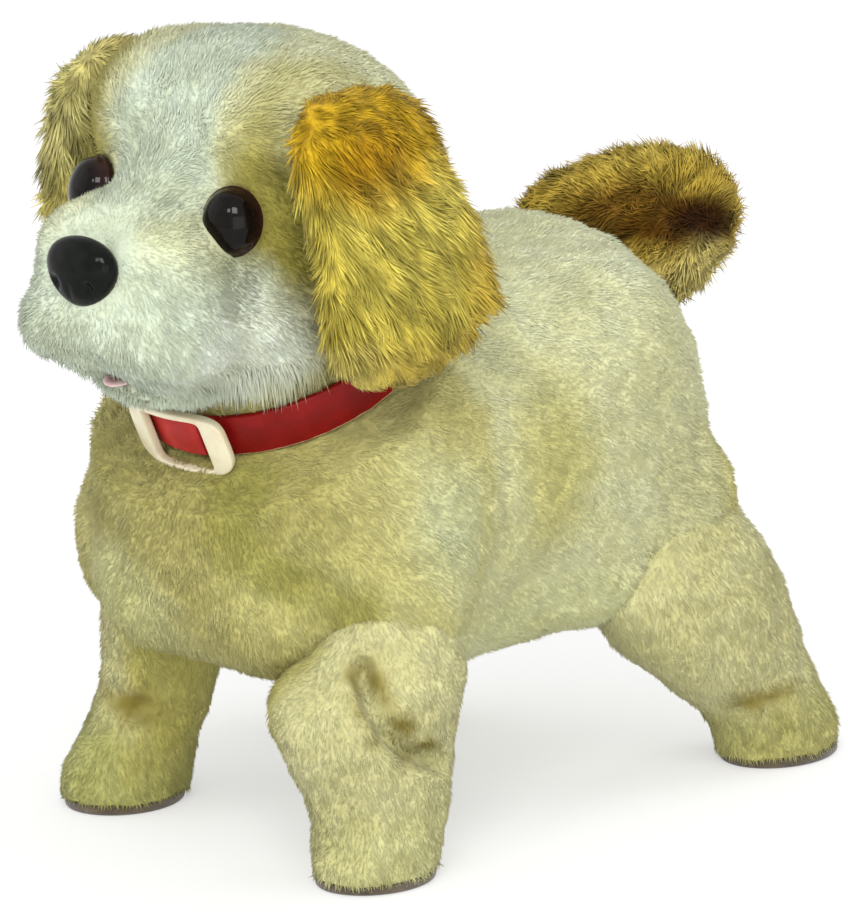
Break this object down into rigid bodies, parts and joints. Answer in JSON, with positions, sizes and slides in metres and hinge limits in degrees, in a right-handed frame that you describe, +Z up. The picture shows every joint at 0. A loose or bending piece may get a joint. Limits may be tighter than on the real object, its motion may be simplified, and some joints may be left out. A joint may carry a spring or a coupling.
{
  "type": "interactive plush puppy",
  "caption": "Battery-driven plush puppy whose geared crank swings four legs so that it walks; its head nods, jaw opens and tail wags.",
  "frame": {"origin": "middle of the bounding box's base, on the surface the feet stand on", "axes": "+Z up, the dog faces -Y and its left side is +X"},
  "size_m": [0.11, 0.2184, 0.18],
  "materials": {
    "white_fur": "short pile",
    "cream_fur": "short pile",
    "ear_fur": "long pile",
    "tail_fur": "long pile",
    "sole_felt": "felt",
    "collar_red": "satin",
    "buckle_cream": "satin",
    "eye_dark": "gloss",
    "nose_black": "gloss",
    "tongue_pink": "felt",
    "housing_grey": "matte",
    "leg_plastic": "matte",
    "gear_white": "matte",
    "black_plastic": "matte",
    "steel": "brushed",
    "cell_wrap": "gloss",
    "board_green": "matte",
    "brass_contact": "satin"
  },
  "bodies": {
    "chassis": {"left_housing": "housing_grey", "right_housing": "housing_grey", "housing_screws": "steel", "leg_axles": "steel", "axle_caps": "steel", "gear_shafts": "steel", "right_gearbox_plate": "leg_plastic", "left_gearbox_plate": "leg_plastic", "gearbox_posts": "leg_plastic", "drive_motor": "steel", "battery_box": "black_plastic", "cells": "cell_wrap", "battery_contacts": "brass_contact", "battery_cover": "housing_grey", "battery_cover_screw": "steel", "sound_board": "board_green", "loudspeaker": "black_plastic", "power_switch": "black_plastic", "body_plush": "cream_fur", "collar_strap": "collar_red", "collar_buckle": "buckle_cream", "neck_block": "housing_grey", "neck_pin": "steel", "tail_bracket": "housing_grey", "tail_pin": "steel"},
    "crank": {"crankshaft": "steel", "left_crank": "gear_white", "right_crank": "gear_white", "final_gear": "gear_white"},
    "second_gear": {"second_gear": "gear_white"},
    "first_gear": {"first_gear": "gear_white"},
    "motor_pinion": {"motor_pinion": "gear_white"},
    "head": {"skull_back": "leg_plastic", "skull_front": "leg_plastic", "left_eye": "eye_dark", "right_eye": "eye_dark", "face_washers": "black_plastic", "nose": "nose_black", "head_plush": "white_fur", "left_ear": "ear_fur", "right_ear": "ear_fur", "jaw_pin": "steel"},
    "jaw": {"jaw_frame": "leg_plastic", "jaw_plush": "white_fur", "tongue": "tongue_pink"},
    "tail": {"tail_core": "leg_plastic", "tail_plush": "tail_fur"},
    "switch": {"switch_knob": "black_plastic"},
    "left_front_leg": {"left_front_leg_frame": "leg_plastic", "left_front_sole": "sole_felt", "left_front_leg_plush": "cream_fur"},
    "left_hind_leg": {"left_hind_leg_frame": "leg_plastic", "left_hind_sole": "sole_felt", "left_hind_leg_plush": "cream_fur"},
    "right_front_leg": {"right_front_leg_frame": "leg_plastic", "right_front_sole": "sole_felt", "right_front_leg_plush": "cream_fur"},
    "right_hind_leg": {"right_hind_leg_frame": "leg_plastic", "right_hind_sole": "sole_felt", "right_hind_leg_plush": "cream_fur"}
  },
  "joints": [
    {"name": "crank_turn", "type": "hinge", "parent": "chassis", "child": "crank", "pos_m": [0, 0.0325, 0.06], "axis": [1, 0, 0], "range_deg": [0, 180]},
    {"name": "second_gear_spin", "type": "hinge", "parent": "chassis", "child": "second_gear", "pos_m": [0, 0.02862, 0.07449], "axis": [1, 0, 0], "range_deg": [-720, 0]},
    {"name": "first_gear_spin", "type": "hinge", "parent": "chassis", "child": "first_gear", "pos_m": [0, 0.01866, 0.08024], "axis": [1, 0, 0], "range_deg": [0, 2592]},
    {"name": "motor_spin", "type": "hinge", "parent": "chassis", "child": "motor_pinion", "pos_m": [0, 0.00741, 0.08263], "axis": [1, 0, 0], "range_deg": [-10656, 0]},
    {"name": "left_hind_stride", "type": "hinge", "parent": "chassis", "child": "left_hind_leg", "pos_m": [0, 0.05, 0.06], "axis": [1, 0, 0], "range_deg": [-36.67, 0]},
    {"name": "right_hind_stride", "type": "hinge", "parent": "chassis", "child": "right_hind_leg", "pos_m": [0, 0.05, 0.06], "axis": [1, 0, 0], "range_deg": [0, 36.67]},
    {"name": "left_front_stride", "type": "hinge", "parent": "chassis", "child": "left_front_leg", "pos_m": [0, -0.048, 0.06], "axis": [1, 0, 0], "range_deg": [0, 8.24]},
    {"name": "right_front_stride", "type": "hinge", "parent": "chassis", "child": "right_front_leg", "pos_m": [0, -0.048, 0.06], "axis": [1, 0, 0], "range_deg": [-8.24, 0]},
    {"name": "head_nod", "type": "hinge", "parent": "chassis", "child": "head", "pos_m": [0, -0.044, 0.117], "axis": [1, 0, 0], "range_deg": [-3.5, 3.5]},
    {"name": "jaw_open", "type": "hinge", "parent": "head", "child": "jaw", "pos_m": [0, -0.06, 0.112], "axis": [1, 0, 0], "range_deg": [0, 12], "stiffness_Nm_per_rad": 0.02},
    {"name": "tail_wag", "type": "hinge", "parent": "chassis", "child": "tail", "pos_m": [0, 0.063, 0.096], "axis": [0, 0, 1], "range_deg": [-8, 8], "stiffness_Nm_per_rad": 0.03},
    {"name": "switch_slide", "type": "slide", "parent": "chassis", "child": "switch", "axis": [0, 1, 0], "range_m": [0, 0.0035]}
  ],
  "couplings": [
    {"joint": "second_gear_spin", "follows": "crank_turn", "ratio": -4},
    {"joint": "first_gear_spin", "follows": "crank_turn", "ratio": 14.4},
    {"joint": "motor_spin", "follows": "crank_turn", "ratio": -59.2},
    {"joint": "left_hind_stride", "follows": "crank_turn", "ratio": -0.20374},
    {"joint": "right_hind_stride", "follows": "crank_turn", "ratio": 0.20374},
    {"joint": "left_front_stride", "follows": "crank_turn", "ratio": 0.045789},
    {"joint": "right_front_stride", "follows": "crank_turn", "ratio": -0.045789}
  ]
}
